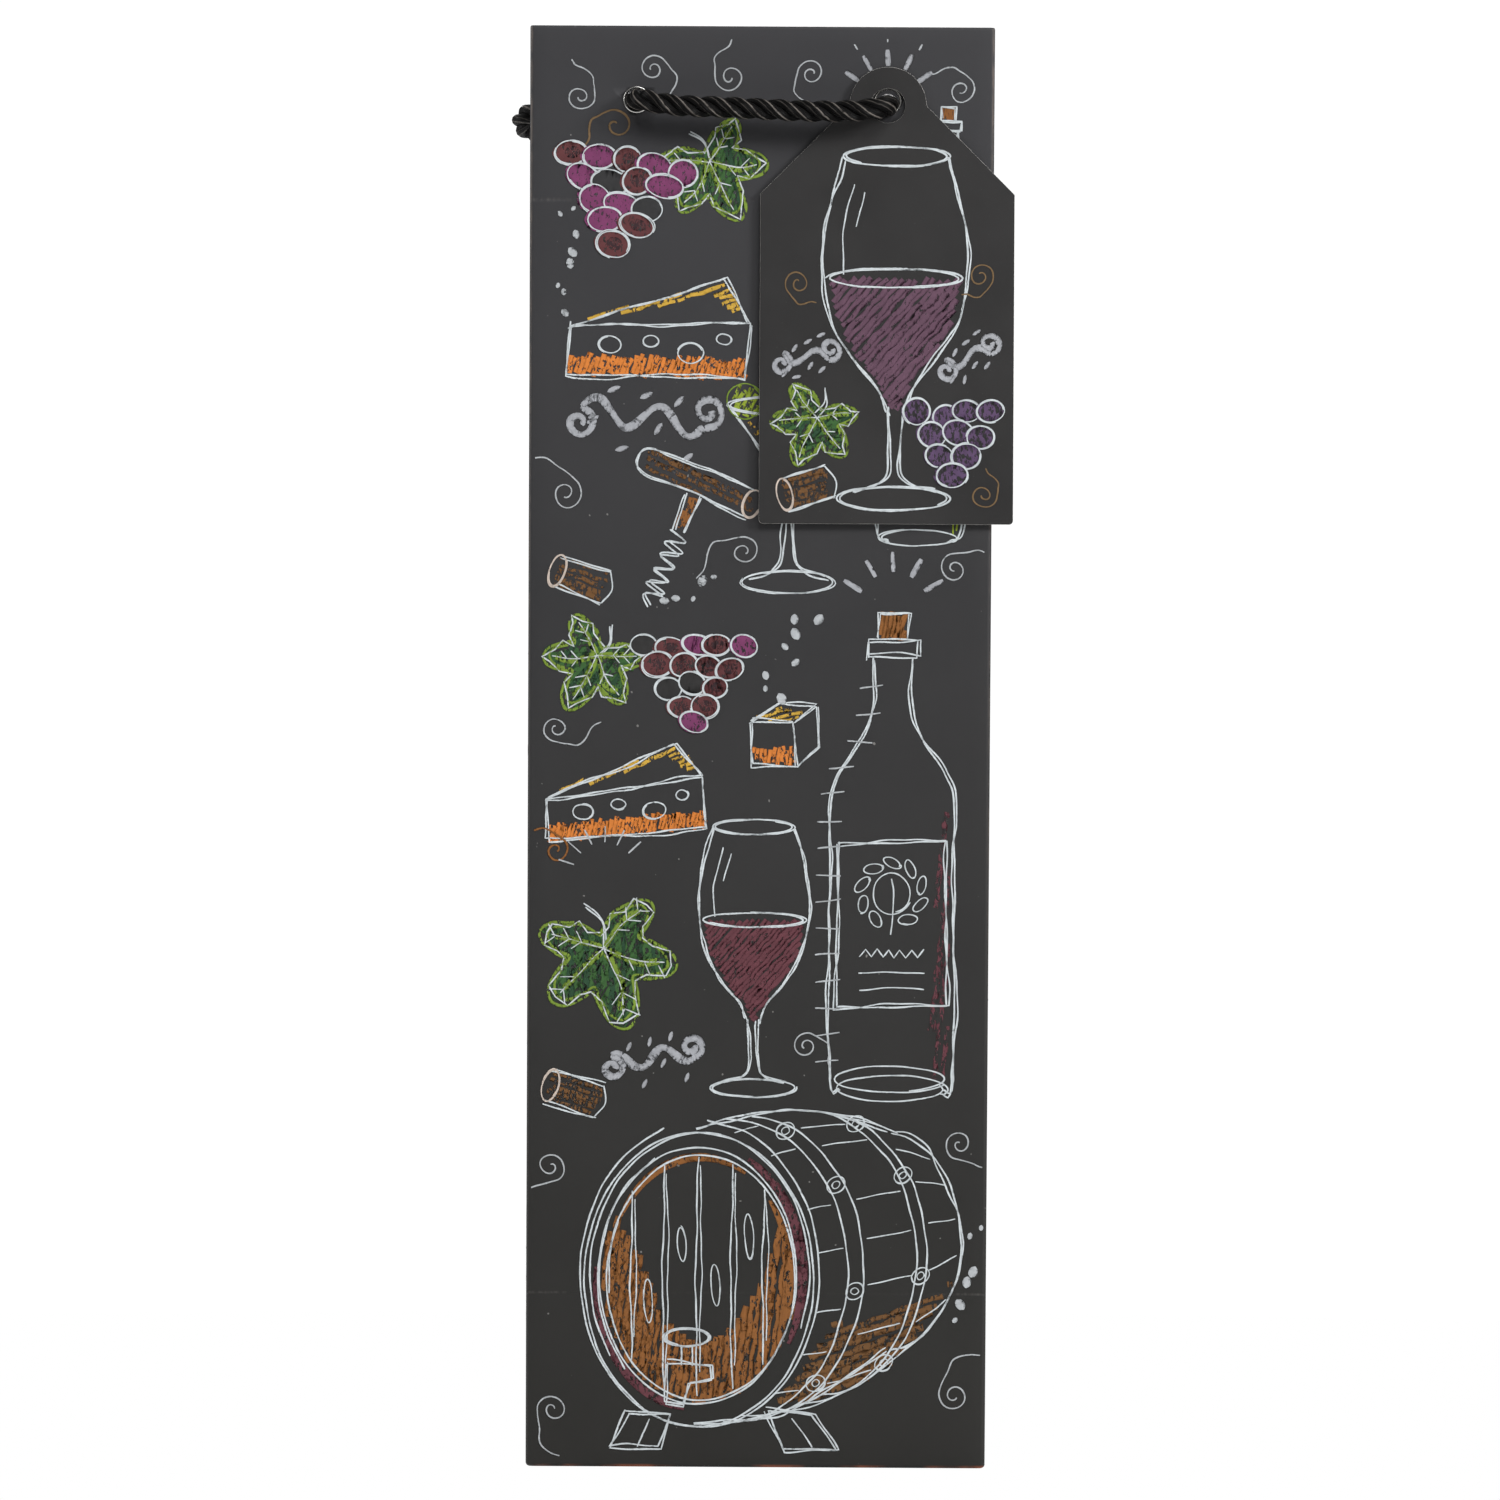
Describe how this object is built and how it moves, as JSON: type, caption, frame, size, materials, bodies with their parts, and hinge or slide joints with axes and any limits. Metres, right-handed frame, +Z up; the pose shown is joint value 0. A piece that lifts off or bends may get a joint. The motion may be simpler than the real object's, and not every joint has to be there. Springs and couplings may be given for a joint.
{
  "type": "wine gift bag",
  "caption": "Tall printed paper gift bag for a wine bottle, open at the top, with twisted rope handles through metal eyelets and a gift tag hanging on the front rope.",
  "frame": {"origin": "middle of the bottom face, on the surface that the bag stands on", "axes": "+Z up, +X to the right and +Y to the back as seen from the printed front"},
  "size_m": [0.1264, 0.1191, 0.3556],
  "materials": {
    "printed_paper": "matte charcoal paper printed with chalk-style drawings, white inside",
    "grey_board": "plain grey board",
    "eyelet_metal": "bright nickel plate",
    "satin_rope": "satin twisted cord",
    "tag_card": "matte charcoal card printed with chalk-style drawings"
  },
  "bodies": {
    "bag": {"front_panel": "printed_paper", "back_panel": "printed_paper", "left_gusset": "printed_paper", "right_gusset": "printed_paper", "side_glue_flap": "printed_paper", "front_hem": "printed_paper", "back_hem": "printed_paper", "left_hem": "printed_paper", "right_hem": "printed_paper", "front_bottom_flap": "printed_paper", "back_bottom_flap": "printed_paper", "left_tuck_flap": "printed_paper", "right_tuck_flap": "printed_paper", "front_top_board": "grey_board", "back_top_board": "grey_board", "front_left_eyelet": "eyelet_metal", "front_right_eyelet": "eyelet_metal", "back_left_eyelet": "eyelet_metal", "back_right_eyelet": "eyelet_metal", "front_handle_cord": "satin_rope", "back_left_tail": "satin_rope", "back_right_tail": "satin_rope", "front_left_knot": "satin_rope", "front_right_knot": "satin_rope", "back_left_knot": "satin_rope", "back_right_knot": "satin_rope"},
    "back_handle": {"back_handle_loop": "satin_rope"},
    "tag": {"tag_card": "tag_card"},
    "bottom_card": {"bottom_board": "grey_board"}
  },
  "joints": [
    {"name": "tag_swing", "type": "hinge", "parent": "bag", "child": "tag", "pos_m": [0.031, -0.04565, 0.3373], "axis": [0, 1, 0], "range_deg": [-45, 45]},
    {"name": "back_handle_swing", "type": "hinge", "parent": "bag", "child": "back_handle", "pos_m": [0, 0.0483, 0.3373], "axis": [1, 0, 0], "range_deg": [-60, 50]},
    {"name": "bottom_board_lift", "type": "slide", "parent": "bag", "child": "bottom_card", "axis": [0, 0, 1], "range_m": [0, 0.2]}
  ]
}
